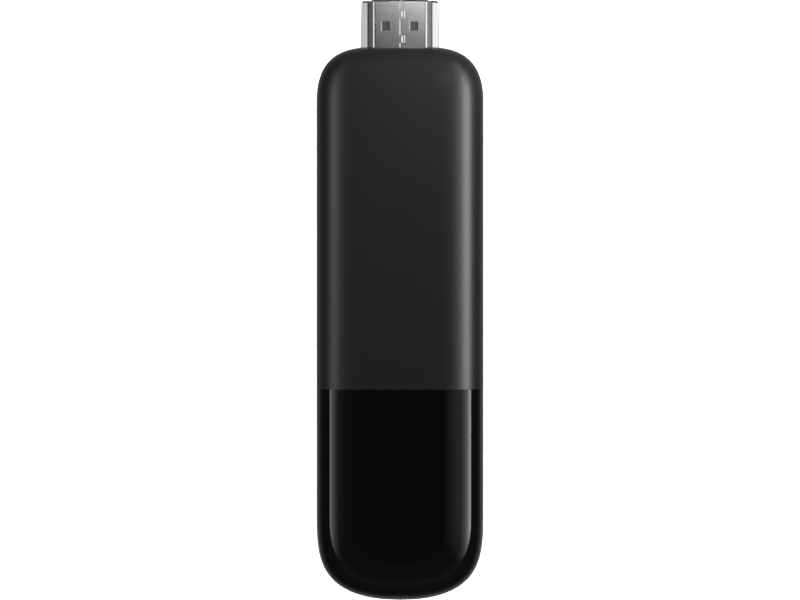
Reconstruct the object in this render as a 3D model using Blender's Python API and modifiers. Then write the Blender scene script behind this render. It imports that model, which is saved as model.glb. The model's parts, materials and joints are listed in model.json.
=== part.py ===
"""Streaming media stick: a two-part plastic pebble round a circuit board, with an HDMI plug on one end.

Metres, +Z up. The stick lies on its back: the back face rests on z = 0, the front face looks up,
the plug points along +Y and the micro-USB power port opens towards +X.
The origin is the centre of the whole object's footprint, on the surface that it rests on.
"""

import math

import bmesh
import bpy
from mathutils import Matrix, Vector

MM = 0.001

# ---------------------------------------------------------------- driving dimensions
BODY_WIDTH = 29.8 * MM
BODY_LENGTH = 98.55 * MM
BODY_THICKNESS = 15.4 * MM
PLUG_REACH = 8.3 * MM  # how far the metal plug stands out of the body

TOP_FLAT = 3.98 * MM  # half of the straight stretch of the plug end
TOP_REACH = 10.75 * MM  # length of the rounded corners at the plug end
TOP_POWER = 2.8
TAIL_REACH = 18.2 * MM  # length of the rounded tail
TAIL_POWER_X = 2.3
TAIL_POWER_Y = 4.25

FRONT_SHOULDER = 9.0 * MM  # width of the rounded shoulder, front and back
BACK_SHOULDER = 7.5 * MM
SHOULDER_POWER = 2.5
EDGE_LAND = 0.3 * MM  # upright strip beside the parting line

FRONT_WALL = 1.7 * MM
BACK_WALL = 1.4 * MM
PARTING_GAP = 0.1 * MM
GLOSS_LENGTH = 37.6 * MM  # the polished cover's share of the body, from the tail
GLOSS_WALL = 0.8 * MM
GLOSS_BED = 0.9 * MM  # depth of the bed that the cover is bonded into
OVERCUT = 0.3 * MM  # how far the bed's cutter stands out of the surface

BOARD_THICKNESS = 1.0 * MM
SOLDER_GAP = 0.05 * MM

# ---------------------------------------------------------------- derived places
HALF_WIDTH = BODY_WIDTH / 2
PLUG_TIP_Y = (BODY_LENGTH + PLUG_REACH) / 2
BODY_TOP_Y = PLUG_TIP_Y - PLUG_REACH
TAIL_Y = -PLUG_TIP_Y
MID_Z = BODY_THICKNESS / 2
GLOSS_EDGE_Y = TAIL_Y + GLOSS_LENGTH
BOARD_TOP = MID_Z + BOARD_THICKNESS / 2
BOARD_UNDER = MID_Z - BOARD_THICKNESS / 2
ON_BOARD = BOARD_TOP + SOLDER_GAP
UNDER_BOARD = BOARD_UNDER - SOLDER_GAP
FAR = 40 * MM  # a cutter's reach past everything

CORNER_STEPS = 11
SHOULDER_STEPS = 6
DENSE_STEPS = 400
ROUND_SIDES = 20

MODEL = "streaming_media_stick"
HELPERS = "cutters_and_joiners"


# ---------------------------------------------------------------- scene and materials
def clear_scene():
    for obj in list(bpy.data.objects):
        bpy.data.objects.remove(obj)
    for name in (MODEL, HELPERS):
        bpy.context.scene.collection.children.link(bpy.data.collections.new(name))


def material(name, colour, roughness, metallic=0.0):
    made = bpy.data.materials.new(name)
    made.use_nodes = True
    shader = made.node_tree.nodes["Principled BSDF"]
    shader.inputs["Base Color"].default_value = (*colour, 1.0)
    shader.inputs["Roughness"].default_value = roughness
    shader.inputs["Metallic"].default_value = metallic
    return made


def make_materials():
    return {
        "matte": material("matte_case", (0.022, 0.023, 0.025), 0.45),
        "gloss": material("gloss_cover", (0.004, 0.004, 0.005), 0.06),
        "steel": material("plug_steel", (0.62, 0.62, 0.64), 0.28, 1.0),
        "nylon": material("connector_plastic", (0.20, 0.20, 0.205), 0.5),
        "gold": material("contact_gold", (0.83, 0.60, 0.25), 0.25, 1.0),
        "board": material("board_laminate", (0.010, 0.060, 0.032), 0.4),
        "chip": material("chip_package", (0.025, 0.025, 0.027), 0.55),
        "tin": material("shield_tin", (0.60, 0.59, 0.56), 0.35, 1.0),
        "aluminium": material("spreader_aluminium", (0.77, 0.78, 0.80), 0.4, 1.0),
        "pad": material("thermal_pad", (0.36, 0.43, 0.50), 0.8),
        "ferrite": material("inductor_ferrite", (0.09, 0.09, 0.095), 0.6),
        "screw": material("screw_steel", (0.25, 0.25, 0.26), 0.35, 1.0),
        "led": material("led_resin", (0.85, 0.86, 0.80), 0.3),
    }


def add(name, mesh, finish=None):
    """An object from a mesh: a part if it has a finish, and otherwise a hidden cutter or joiner."""
    obj = bpy.data.objects.new(name, mesh)
    bpy.data.collections[MODEL if finish else HELPERS].objects.link(obj)
    if finish:
        mesh.materials.append(finish)
    else:
        obj.hide_render = True
        obj.display_type = "WIRE"
    return obj


def mesh_from(name, build):
    """A mesh filled by build(bm)."""
    bm = bmesh.new()
    build(bm)
    mesh = bpy.data.meshes.new(name)
    bm.to_mesh(mesh)
    bm.free()
    return mesh


def smooth(obj, angle=35):
    obj.data.shade_smooth()
    obj.data.set_sharp_from_angle(angle=math.radians(angle))


# ---------------------------------------------------------------- modifiers
def boolean(obj, other, operation="DIFFERENCE"):
    modifier = obj.modifiers.new(f"{operation.lower()}_{other.name}", "BOOLEAN")
    modifier.operation = operation
    modifier.object = other


def solidify(obj, thickness, offset=-1.0):
    modifier = obj.modifiers.new("wall", "SOLIDIFY")
    modifier.thickness = thickness
    modifier.offset = offset
    modifier.use_even_offset = True


def bevel(obj, width, segments=2):
    modifier = obj.modifiers.new("edges", "BEVEL")
    modifier.width = width
    modifier.segments = segments
    modifier.limit_method = "ANGLE"


# ---------------------------------------------------------------- primitive shapes
def boxes(name, blocks, finish=None):
    """Blocks given as (low corner, high corner)."""

    def build(bm):
        for low, high in blocks:
            low, high = Vector(low), Vector(high)
            place = Matrix.Translation((low + high) / 2) @ Matrix.Diagonal((*(high - low), 1))
            bmesh.ops.create_cube(bm, size=1, matrix=place)

    return add(name, mesh_from(name, build), finish)


def rods(name, places, radius, low, high, finish=None, sides=ROUND_SIDES):
    """Upright cylinders from z = low to z = high at each (x, y)."""

    def build(bm):
        for x, y in places:
            bmesh.ops.create_cone(
                bm,
                cap_ends=True,
                segments=sides,
                radius1=radius,
                radius2=radius,
                depth=high - low,
                matrix=Matrix.Translation((x, y, (low + high) / 2)),
            )

    return add(name, mesh_from(name, build), finish)


def turned(name, profile, place, finish):
    """A profile of (radius, height), listed from top to bottom, turned about the upright axis at place."""

    def build(bm):
        points = [bm.verts.new((radius, 0, height)) for radius, height in profile]
        for first, second in zip(points, points[1:]):
            bm.edges.new((first, second))

    obj = add(name, mesh_from(name, build), finish)
    obj.location = place
    screw = obj.modifiers.new("turn", "SCREW")
    screw.steps = ROUND_SIDES
    screw.render_steps = ROUND_SIDES
    screw.use_merge_vertices = True
    screw.merge_threshold = 0.00001
    screw.use_smooth_shade = False
    return obj


def strip(name, path, width, thickness, place, finish):
    """A stamped ribbon: path points in the place's own plane, widened both ways and given a thickness."""

    def build(bm):
        sides = [
            [bm.verts.new(place(u, v, side)) for u, v in path] for side in (-width / 2, width / 2)
        ]
        for i in range(len(path) - 1):
            bm.faces.new((sides[0][i], sides[0][i + 1], sides[1][i + 1], sides[1][i]))

    obj = add(name, mesh_from(name, build), finish)
    solidify(obj, thickness, offset=0)
    return obj


# ---------------------------------------------------------------- outlines
def rounded(corners, steps=3):
    """Points of a closed outline whose corners, given as (u, v, radius), are rounded by arcs."""
    points = []
    for i, (u, v, radius) in enumerate(corners):
        here = Vector((u, v))
        before = (Vector(corners[i - 1][:2]) - here).normalized()
        after = (Vector(corners[(i + 1) % len(corners)][:2]) - here).normalized()
        half = before.angle(after) / 2
        if radius <= 0:
            points.append(here)
            continue
        centre = here + (before + after).normalized() * radius / math.sin(half)
        start = here + before * radius / math.tan(half) - centre
        turn = start.angle_signed(here + after * radius / math.tan(half) - centre)
        for k in range(steps + 1):
            points.append(centre + Matrix.Rotation(-turn * k / steps, 2) @ start)
    return points


def inset(corners, distance):
    """An anticlockwise outline of rounded corners moved inwards, or outwards by a negative distance."""
    moved = []
    for i, (u, v, radius) in enumerate(corners):
        here = Vector((u, v))
        along = (here - Vector(corners[i - 1][:2])).normalized()
        onward = (Vector(corners[(i + 1) % len(corners)][:2]) - here).normalized()
        normals = Vector((-along.y, along.x)), Vector((-onward.y, onward.x))
        shift = (normals[0] + normals[1]) * distance / (1 + normals[0].dot(normals[1]))
        convex = along.cross(onward) > 0
        kept = radius - distance if convex else radius + distance
        moved.append((u + shift.x, v + shift.y, max(kept, 0.05 * MM)))
    return moved


def mirrored(corners):
    """A half outline given from bottom to top on the +u side, closed by its mirror image."""
    return corners + [(-u, v, radius) for u, v, radius in reversed(corners)]


def loft(name, rings, finish=None):
    """A closed solid through rings of equally many points, capped at both ends."""

    def build(bm):
        loops = [[bm.verts.new(p) for p in ring] for ring in rings]
        for low, high in zip(loops, loops[1:]):
            for i in range(len(low)):
                j = (i + 1) % len(low)
                bm.faces.new((low[i], low[j], high[j], high[i]))
        bm.faces.new(loops[0])
        bm.faces.new(loops[-1])
        bmesh.ops.recalc_face_normals(bm, faces=bm.faces)

    return add(name, mesh_from(name, build), finish)


def plate(name, corners, low, high, finish=None):
    """A flat outline of rounded corners in x and y, from z = low to z = high, made by a filled 2D curve."""
    curve = bpy.data.curves.new(name, "CURVE")
    curve.dimensions = "2D"
    curve.fill_mode = "BOTH"
    curve.extrude = (high - low) / 2
    points = rounded(corners, steps=5)
    spline = curve.splines.new("POLY")
    spline.points.add(len(points) - 1)
    for point, (x, y) in zip(spline.points, points):
        point.co = (x, y, 0, 1)
    spline.use_cyclic_u = True
    guide = bpy.data.objects.new(name, curve)
    bpy.data.collections[HELPERS].objects.link(guide)
    guide.location.z = (low + high) / 2
    bpy.context.view_layer.update()
    flat = guide.evaluated_get(bpy.context.evaluated_depsgraph_get())
    mesh = bpy.data.meshes.new_from_object(flat)
    welded = bmesh.new()
    welded.from_mesh(mesh)
    bmesh.ops.remove_doubles(welded, verts=welded.verts, dist=0.000001)
    bmesh.ops.recalc_face_normals(welded, faces=welded.faces)
    welded.to_mesh(mesh)
    welded.free()
    place = guide.matrix_world.copy()
    bpy.data.objects.remove(guide)
    obj = add(name, mesh, finish)
    obj.matrix_world = place
    return obj


# ---------------------------------------------------------------- the pebble
def spaced(points, steps):
    """steps + 1 points evenly spaced along a dense polyline."""
    lengths = [0.0]
    for first, second in zip(points, points[1:]):
        lengths.append(lengths[-1] + math.dist(first, second))
    found = []
    k = 0
    for i in range(steps + 1):
        target = lengths[-1] * i / steps
        while k < len(points) - 2 and lengths[k + 1] < target:
            k += 1
        share = (target - lengths[k]) / (lengths[k + 1] - lengths[k])
        found.append([a + (b - a) * min(share, 1.0) for a, b in zip(points[k], points[k + 1])])
    return found


def quarter(flat, reach_x, reach_y, power_x, power_y):
    """A superellipse quarter from the side, (flat + reach_x, 0), round to the end, (flat, reach_y)."""
    dense = []
    for i in range(DENSE_STEPS + 1):
        t = math.pi / 2 * i / DENSE_STEPS
        x = flat + reach_x * max(math.cos(t), 0.0) ** (2 / power_x)
        dense.append((x, reach_y * math.sin(t) ** (2 / power_y)))
    return spaced(dense, CORNER_STEPS)


def outline(distance):
    """The body's outline seen from the front, anticlockwise, moved inwards by distance."""
    top = quarter(
        TOP_FLAT, HALF_WIDTH - TOP_FLAT - distance, TOP_REACH - distance, TOP_POWER, TOP_POWER
    )
    tail = quarter(0.0, HALF_WIDTH - distance, TAIL_REACH - distance, TAIL_POWER_X, TAIL_POWER_Y)
    top_base = BODY_TOP_Y - TOP_REACH
    tail_base = TAIL_Y + TAIL_REACH
    points = [(x, top_base + y) for x, y in top]
    points += [(-x, top_base + y) for x, y in reversed(top)]
    points += [(-x, tail_base - y) for x, y in tail]
    points += [(x, tail_base - y) for x, y in reversed(tail[:-1])]
    return points


def shoulder(reach):
    """(inset, rise) pairs from the parting line up the land, over the shoulder and onto the face."""
    pairs = [(0.0, 0.0)]
    for i in range(SHOULDER_STEPS + 1):
        a = math.pi / 2 * i / SHOULDER_STEPS
        across, up = max(math.cos(a), 0.0), math.sin(a)
        r = (across**SHOULDER_POWER + up**SHOULDER_POWER) ** (-1 / SHOULDER_POWER)
        rise = EDGE_LAND + (MID_Z - EDGE_LAND) * r * up
        pairs.append((reach * (1 - r * across), rise))
    return pairs


def pebble_half(name, reach, side, start, finish=None):
    """An open skin from start beyond the parting line to the front face (side 1) or back (side -1)."""
    pairs = shoulder(reach)
    pairs[0] = (0.0, start)

    def build(bm):
        loops = []
        for distance, rise in pairs:
            z = MID_Z + side * rise
            loops.append([bm.verts.new((x, y, z)) for x, y in outline(distance)])
        for low, high in zip(loops, loops[1:]):
            for i in range(len(low)):
                j = (i + 1) % len(low)
                corners = (low[i], low[j], high[j], high[i])
                bm.faces.new(corners if side > 0 else corners[::-1])
        bm.faces.new(loops[-1] if side > 0 else loops[-1][::-1])

    return add(name, mesh_from(name, build), finish)


# ---------------------------------------------------------------- HDMI plug
PLUG_HALF_WIDTH = 6.95 * MM
PLUG_HALF_HEIGHT = 2.225 * MM
PLUG_WALL = 0.35 * MM
PLUG_BACK_Y = 37.0 * MM
PLUG_LEAD_IN = 0.3 * MM  # length of the tapered rim, and how far it draws in
PLUG_RIM_INSET = 0.12 * MM
PLUG_CORNERS = mirrored(
    [
        (PLUG_HALF_WIDTH, -PLUG_HALF_HEIGHT, 0.6 * MM),
        (PLUG_HALF_WIDTH, -0.9 * MM, 0.25 * MM),
        (5.78 * MM, 0.0, 0.6 * MM),
        (4.68 * MM, PLUG_HALF_HEIGHT, 0.55 * MM),
    ]
)
LATCH_HOLE_X = 2.51 * MM
LATCH_HOLE_FROM_TIP = 4.72 * MM
LATCH_HOLE_SIZE = (1.4 * MM, 1.6 * MM)
SEAM_X = 0.15 * MM
SEAM_WIDTH = 0.07 * MM
DOVETAILS_FROM_TIP = (2.45 * MM, 6.95 * MM)
DOVETAIL_REACH = 0.5 * MM  # beyond the seam
DOVETAIL_HALF = 0.72 * MM
DOVETAIL_NECK = 0.45 * MM
FOOT_SPAN = (5.2 * MM, 6.5 * MM)  # the solder feet, beside the plug's sloping flanks
FOOT_ON_BOARD = 3.0 * MM
FOOT_ON_PLUG = 1.5 * MM

INSULATOR_GAP = 0.08 * MM
INSULATOR_FRONT_Y = PLUG_TIP_Y - 0.9 * MM
INSULATOR_BACK_Y = 38.0 * MM
SLOT_DEPTH = 9.0 * MM
SLOT_HALF_WIDTH = 4.8 * MM
SLOT_LOW = MID_Z - 1.3 * MM
SLOT_HIGH = MID_Z + 0.6 * MM
GROOVE_WIDTH = 0.5 * MM
GROOVE_DEPTH = 0.32 * MM
CONTACT_WIDTH = 0.36 * MM
CONTACT_THICKNESS = 0.2 * MM
CONTACT_PITCH = 1.0 * MM
CONTACT_BUMP = 0.2 * MM  # how far a contact's sprung nose stands into the slot
CONTACT_NOSE = 0.8 * MM  # from the contact's tip to its bump, and the length of the bump's ramps
CONTACT_TAIL = 2.9 * MM
CONTACT_SLACK = 0.05 * MM
GROOVE_STOP = 0.6 * MM
WIDE_ROW = 10
NARROW_ROW = 9
BOARD_END_Y = 36.5 * MM


def plug_ring(y, distance):
    return [(u, y, MID_Z + v) for u, v in rounded(inset(PLUG_CORNERS, distance))]


def plug_prism(name, y_low, y_high, distance, finish=None):
    return loft(name, [plug_ring(y_low, distance), plug_ring(y_high, distance)], finish)


def seam_outline():
    """The folded shell's seam on the narrow face: a fine slit with two dovetail locks."""
    tooth = SEAM_X + DOVETAIL_REACH
    line = [(SEAM_X, PLUG_TIP_Y + FAR)]
    for from_tip in DOVETAILS_FROM_TIP:
        y = PLUG_TIP_Y - from_tip
        line += [
            (SEAM_X, y + DOVETAIL_NECK),
            (tooth, y + DOVETAIL_HALF),
            (tooth, y - DOVETAIL_HALF),
            (SEAM_X, y - DOVETAIL_NECK),
        ]
    return line + [(SEAM_X, PLUG_BACK_Y - FAR)]


def make_seam_cutter():
    def build(bm):
        points = [bm.verts.new((x, y, MID_Z + PLUG_HALF_HEIGHT)) for x, y in seam_outline()]
        for first, second in zip(points, points[1:]):
            bm.edges.new((first, second))
        lifted = bmesh.ops.extrude_edge_only(bm, edges=bm.edges[:])
        raised = [v for v in lifted["geom"] if isinstance(v, bmesh.types.BMVert)]
        bmesh.ops.translate(bm, verts=raised, vec=(0, 0, 1 * MM))
        bmesh.ops.translate(bm, verts=bm.verts, vec=(0, 0, -0.5 * MM))

    cutter = add("plug_seam_cutter", mesh_from("plug_seam_cutter", build))
    solidify(cutter, SEAM_WIDTH, offset=0)
    return cutter


def make_hdmi_shell(finish):
    shell = loft(
        "hdmi_shell",
        [
            plug_ring(PLUG_BACK_Y, 0),
            plug_ring(PLUG_TIP_Y - PLUG_LEAD_IN, 0),
            plug_ring(PLUG_TIP_Y, PLUG_RIM_INSET),
        ],
        finish,
    )
    cavity = plug_prism("plug_cavity_cutter", PLUG_BACK_Y - 1 * MM, PLUG_TIP_Y + 1 * MM, PLUG_WALL)
    boolean(shell, cavity)
    width, length = LATCH_HOLE_SIZE
    y = PLUG_TIP_Y - LATCH_HOLE_FROM_TIP
    holes = boxes(
        "latch_hole_cutter",
        [
            ((x - width / 2, y - length / 2, 0), (x + width / 2, y + length / 2, FAR))
            for x in (-LATCH_HOLE_X, LATCH_HOLE_X)
        ],
    )
    boolean(shell, holes)
    boolean(shell, make_seam_cutter())
    feet = boxes(
        "plug_foot_joiner",
        [
            (
                (min(side * x for x in FOOT_SPAN), BOARD_END_Y - FOOT_ON_BOARD, ON_BOARD),
                (
                    max(side * x for x in FOOT_SPAN),
                    PLUG_BACK_Y + FOOT_ON_PLUG,
                    ON_BOARD + PLUG_WALL,
                ),
            )
            for side in (-1, 1)
        ],
    )
    boolean(shell, feet, "UNION")


def contact_rows():
    """(number, x, z of the groove's mouth, the way into the plastic) of every plug contact."""
    rows = []
    for count, mouth, outward in ((WIDE_ROW, SLOT_LOW, -1), (NARROW_ROW, SLOT_HIGH, 1)):
        for i in range(count):
            rows.append(((i - (count - 1) / 2) * CONTACT_PITCH, mouth, outward))
    return [(n + 1, *row) for n, row in enumerate(rows)]


def make_hdmi_insulator(finish):
    insulator = plug_prism(
        "hdmi_insulator", INSULATOR_BACK_Y, INSULATOR_FRONT_Y, PLUG_WALL + INSULATOR_GAP, finish
    )
    slot = boxes(
        "plug_slot_cutter",
        [
            (
                (-SLOT_HALF_WIDTH, INSULATOR_FRONT_Y - SLOT_DEPTH, SLOT_LOW),
                (SLOT_HALF_WIDTH, INSULATOR_FRONT_Y + 1 * MM, SLOT_HIGH),
            )
        ],
    )
    boolean(insulator, slot)
    blocks = []
    for _, x, mouth, outward in contact_rows():
        ends = sorted((mouth - outward * 0.1 * MM, mouth + outward * GROOVE_DEPTH))
        low = (x - GROOVE_WIDTH / 2, INSULATOR_BACK_Y - 1 * MM, ends[0])
        high = (x + GROOVE_WIDTH / 2, INSULATOR_FRONT_Y - GROOVE_STOP, ends[1])
        blocks.append((low, high))
    boolean(insulator, boxes("contact_groove_cutter", blocks))
    return insulator


def make_hdmi_contacts(finish):
    for number, x, mouth, outward in contact_rows():
        rest = mouth + outward * (CONTACT_SLACK + CONTACT_THICKNESS / 2)
        tail = MID_Z + outward * (BOARD_THICKNESS / 2 + SOLDER_GAP + CONTACT_THICKNESS / 2)
        front = INSULATOR_FRONT_Y - GROOVE_STOP - 0.2 * MM
        path = [
            (front, rest),
            (front - CONTACT_NOSE, rest - outward * CONTACT_BUMP),
            (front - 2 * CONTACT_NOSE, rest - outward * CONTACT_BUMP),
            (front - 3 * CONTACT_NOSE, rest),
            (INSULATOR_BACK_Y - 0.1 * MM, rest),
            (BOARD_END_Y + 0.3 * MM, tail),
            (BOARD_END_Y - CONTACT_TAIL, tail),
        ]
        strip(
            f"hdmi_contact_{number:02d}",
            path,
            CONTACT_WIDTH,
            CONTACT_THICKNESS,
            lambda u, v, side, x=x: (x + side, u, v),
            finish,
        )


# ---------------------------------------------------------------- micro-USB port
PORT_Y = TAIL_Y + 16.35 * MM
PORT_MOUTH_X = 13.9 * MM
PORT_BACK_X = 8.6 * MM
PORT_WALL = 0.3 * MM
PORT_FLARE = 0.15 * MM
PORT_CORNERS = mirrored(
    [
        (2.75 * MM, -1.25 * MM, 0.3 * MM),
        (3.75 * MM, -0.35 * MM, 0.3 * MM),
        (3.75 * MM, 1.25 * MM, 0.4 * MM),
    ]
)
PORT_OPENING = (8.06 * MM, 3.2 * MM)
PORT_OPENING_CORNER = 0.95 * MM
TONGUE_HALF_WIDTH = 1.9 * MM
TONGUE_LOW = -0.35 * MM
TONGUE_HIGH = 0.25 * MM
TONGUE_FRONT_X = 13.1 * MM
PORT_BASE_FRONT_X = 10.3 * MM
PORT_CONTACTS = 5
PORT_PITCH = 0.65 * MM
PORT_CONTACT_WIDTH = 0.36 * MM
PORT_CONTACT_THICKNESS = 0.12 * MM


def port_ring(x, distance):
    return [(x, PORT_Y + u, MID_Z + v) for u, v in rounded(inset(PORT_CORNERS, distance))]


def make_usb_shell(finish):
    shell = loft(
        "usb_shell",
        [
            port_ring(PORT_BACK_X, 0),
            port_ring(PORT_MOUTH_X - 0.45 * MM, 0),
            port_ring(PORT_MOUTH_X, -PORT_FLARE),
        ],
        finish,
    )
    cavity = loft(
        "port_cavity_cutter",
        [
            port_ring(PORT_BACK_X - 0.6 * MM, PORT_WALL),
            port_ring(PORT_MOUTH_X - 0.5 * MM, PORT_WALL),
            port_ring(PORT_MOUTH_X + 0.1 * MM, 0),
        ],
    )
    half = PORT_CORNERS[1][0]
    tabs = boxes(
        "port_tab_joiner",
        [
            (
                (PORT_BACK_X + 0.4 * MM, PORT_Y - half - 1.3 * MM, ON_BOARD),
                (PORT_BACK_X + 1.9 * MM, PORT_Y - half + 0.15 * MM, ON_BOARD + PORT_WALL),
            ),
            (
                (PORT_BACK_X + 0.4 * MM, PORT_Y + half - 0.15 * MM, ON_BOARD),
                (PORT_BACK_X + 1.9 * MM, PORT_Y + half + 1.3 * MM, ON_BOARD + PORT_WALL),
            ),
        ],
    )
    boolean(shell, tabs, "UNION")
    boolean(shell, cavity)


def port_contact_places():
    return [PORT_Y + (i - (PORT_CONTACTS - 1) / 2) * PORT_PITCH for i in range(PORT_CONTACTS)]


def make_usb_insulator(finish):
    base = loft(
        "usb_insulator",
        [
            port_ring(PORT_BACK_X + 0.1 * MM, PORT_WALL + INSULATOR_GAP),
            port_ring(PORT_BASE_FRONT_X, PORT_WALL + INSULATOR_GAP),
        ],
        finish,
    )
    tongue = boxes(
        "port_tongue_joiner",
        [
            (
                (PORT_BASE_FRONT_X - 0.5 * MM, PORT_Y - TONGUE_HALF_WIDTH, MID_Z + TONGUE_LOW),
                (TONGUE_FRONT_X, PORT_Y + TONGUE_HALF_WIDTH, MID_Z + TONGUE_HIGH),
            )
        ],
    )
    boolean(base, tongue, "UNION")
    gap = 0.04 * MM
    slots = boxes(
        "port_contact_slot_cutter",
        [
            (
                (
                    PORT_BACK_X - 1 * MM,
                    y - PORT_CONTACT_WIDTH / 2 - gap,
                    MID_Z + TONGUE_HIGH - 0.1 * MM,
                ),
                (
                    TONGUE_FRONT_X - 0.15 * MM,
                    y + PORT_CONTACT_WIDTH / 2 + gap,
                    MID_Z + TONGUE_HIGH + PORT_CONTACT_THICKNESS,
                ),
            )
            for y in port_contact_places()
        ],
    )
    boolean(base, slots)


def make_usb_contacts(finish):
    rest = MID_Z + TONGUE_HIGH
    tail = ON_BOARD + PORT_CONTACT_THICKNESS / 2
    path = [
        (TONGUE_FRONT_X - 0.2 * MM, rest),
        (PORT_BACK_X - 0.05 * MM, rest),
        (PORT_BACK_X - 0.5 * MM, tail),
        (PORT_BACK_X - 1.6 * MM, tail),
    ]
    for i, y in enumerate(port_contact_places()):
        strip(
            f"usb_contact_{i + 1}",
            path,
            PORT_CONTACT_WIDTH,
            PORT_CONTACT_THICKNESS,
            lambda u, v, side, y=y: (u, y + side, v),
            finish,
        )


# ---------------------------------------------------------------- casing
POST_PLACES = [(side * 9.8 * MM, y * MM) for side in (-1, 1) for y in (31.5, -28.3)]
POST_RADIUS = 1.3 * MM
CRADLE_LOW_Y = 39.5 * MM
CRADLE_HIGH_Y = 41.0 * MM
CRADLE_HALF_WIDTH = 9.0 * MM
IN_BACK_WALL = 1.1 * MM  # a height inside the back wall, where posts and ribs take root
IN_FRONT_WALL = 14.0 * MM
LIP_INSET = 1.6 * MM
LIP_WALL = 0.7 * MM
LIP_DROP = 1.2 * MM
LIP_RISE = 1.6 * MM
CASE_TO_PLUG = 0.1 * MM
LED_PLACE = (3.5 * MM, -44.0 * MM)
LED_WINDOW_RADIUS = 0.75 * MM


def make_lip_joiner():
    """The tongue inside the parting line, which the back shell's wall slides over."""

    def build(bm):
        loops = [
            [bm.verts.new((x, y, MID_Z + z)) for x, y in outline(LIP_INSET)]
            for z in (-LIP_DROP, LIP_RISE)
        ]
        for i in range(len(loops[0])):
            j = (i + 1) % len(loops[0])
            bm.faces.new((loops[0][i], loops[0][j], loops[1][j], loops[1][i]))

    lip = add("lip_joiner", mesh_from("lip_joiner", build))
    solidify(lip, LIP_WALL)
    return lip


def make_port_opening_cutter():
    """A round-cornered opening through the side wall, on the parting line."""
    width, height = PORT_OPENING
    corners = [
        (width / 2, -height / 2, PORT_OPENING_CORNER),
        (width / 2, height / 2, PORT_OPENING_CORNER),
        (-width / 2, height / 2, PORT_OPENING_CORNER),
        (-width / 2, -height / 2, PORT_OPENING_CORNER),
    ]
    rings = [
        [(x, PORT_Y + u, MID_Z + v) for u, v in rounded(corners, steps=5)]
        for x in (12.0 * MM, HALF_WIDTH + 1 * MM)
    ]
    return loft("port_opening_cutter", rings)


def beyond_gloss_edge(name, shift):
    """A block that takes away everything on the plug's side of the gloss cover's edge."""
    low = (-FAR, GLOSS_EDGE_Y + shift, MID_Z - FAR)
    return boxes(name, [(low, (FAR, PLUG_TIP_Y + FAR, MID_Z + FAR))])


def make_casing(finishes):
    half_gap = PARTING_GAP / 2
    plug_opening = plug_prism("plug_opening_cutter", 38 * MM, PLUG_TIP_Y, -CASE_TO_PLUG)
    port_opening = make_port_opening_cutter()

    front = pebble_half("front_shell", FRONT_SHOULDER, 1, half_gap, finishes["matte"])
    solidify(front, FRONT_WALL)
    boolean(front, make_lip_joiner(), "UNION")
    posts = rods("front_post_joiner", POST_PLACES, POST_RADIUS, BOARD_TOP + 0.1 * MM, IN_FRONT_WALL)
    boolean(front, posts, "UNION")
    rib = boxes(
        "front_cradle_joiner",
        [
            (
                (-CRADLE_HALF_WIDTH, CRADLE_LOW_Y, MID_Z + half_gap),
                (CRADLE_HALF_WIDTH, CRADLE_HIGH_Y, IN_FRONT_WALL),
            )
        ],
    )
    boolean(front, rib, "UNION")
    bed = pebble_half("gloss_bed_cutter", FRONT_SHOULDER, 1, -1 * MM)
    solidify(bed, GLOSS_BED + OVERCUT, offset=(OVERCUT - GLOSS_BED) / (OVERCUT + GLOSS_BED))
    boolean(bed, beyond_gloss_edge("gloss_bed_trimmer", half_gap))
    boolean(front, bed)
    window = rods("led_window_cutter", [LED_PLACE], LED_WINDOW_RADIUS, MID_Z + 2 * MM, FAR)
    boolean(front, window)
    boolean(front, plug_opening)
    boolean(front, port_opening)

    cover = pebble_half("gloss_cover", FRONT_SHOULDER, 1, half_gap, finishes["gloss"])
    solidify(cover, GLOSS_WALL)
    boolean(cover, beyond_gloss_edge("gloss_cover_trimmer", -half_gap))
    boolean(cover, port_opening)

    back = pebble_half("rear_shell", BACK_SHOULDER, -1, half_gap, finishes["matte"])
    solidify(back, BACK_WALL)
    posts = rods("back_post_joiner", POST_PLACES, POST_RADIUS, IN_BACK_WALL, BOARD_UNDER - 0.1 * MM)
    boolean(back, posts, "UNION")
    rib = boxes(
        "back_cradle_joiner",
        [
            (
                (-CRADLE_HALF_WIDTH, CRADLE_LOW_Y, IN_BACK_WALL),
                (CRADLE_HALF_WIDTH, CRADLE_HIGH_Y, MID_Z - half_gap),
            )
        ],
    )
    boolean(back, rib, "UNION")
    boolean(back, plug_opening)
    boolean(back, port_opening)
    for shell in (front, cover, back):
        smooth(shell)


# ---------------------------------------------------------------- board, cooling and radio
BOARD_HALF_WIDTH = 12.0 * MM
BOARD_TAIL_Y = -47.2 * MM
PORT_NOTCH_X = 8.2 * MM
PORT_NOTCH_HALF = 4.2 * MM
SCREW_PLACES = [(side * 9.4 * MM, y * MM) for side in (-1, 1) for y in (24.5, -24.0)]
SCREW_HOLE_RADIUS = 0.95 * MM
SCREW_RADIUS = 0.75 * MM
BOSS_RADIUS = 1.6 * MM
BOSS_BORE_RADIUS = 0.85 * MM
SPREADER_HALF_WIDTH = 11.2 * MM
SPREADER_LOW_Y = -26.8 * MM
SPREADER_HIGH_Y = 27.3 * MM
FRONT_SPREADER = (11.0 * MM, 12.2 * MM)
REAR_SPREADER = (3.3 * MM, 4.3 * MM)
SCREW_HEAD_RADIUS = 1.45 * MM
SCREW_HEAD_HEIGHT = 1.0 * MM
SCREW_TIP_Z = 10.2 * MM
RECESS = (0.85 * MM, 0.17 * MM)  # half sizes of one arm of the cross recess
RECESS_DEPTH = 0.5 * MM
SHIELD_HALF_WIDTH = 8.3 * MM
SHIELD_LOW_Y = -17.0 * MM
SHIELD_HIGH_Y = 20.5 * MM
SHIELD_HEIGHT = 1.75 * MM
SHIELD_WALL = 0.3 * MM
LID_WALL = 0.2 * MM
LID_GAP = 0.08 * MM
LID_SKIRT = 1.2 * MM
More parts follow.
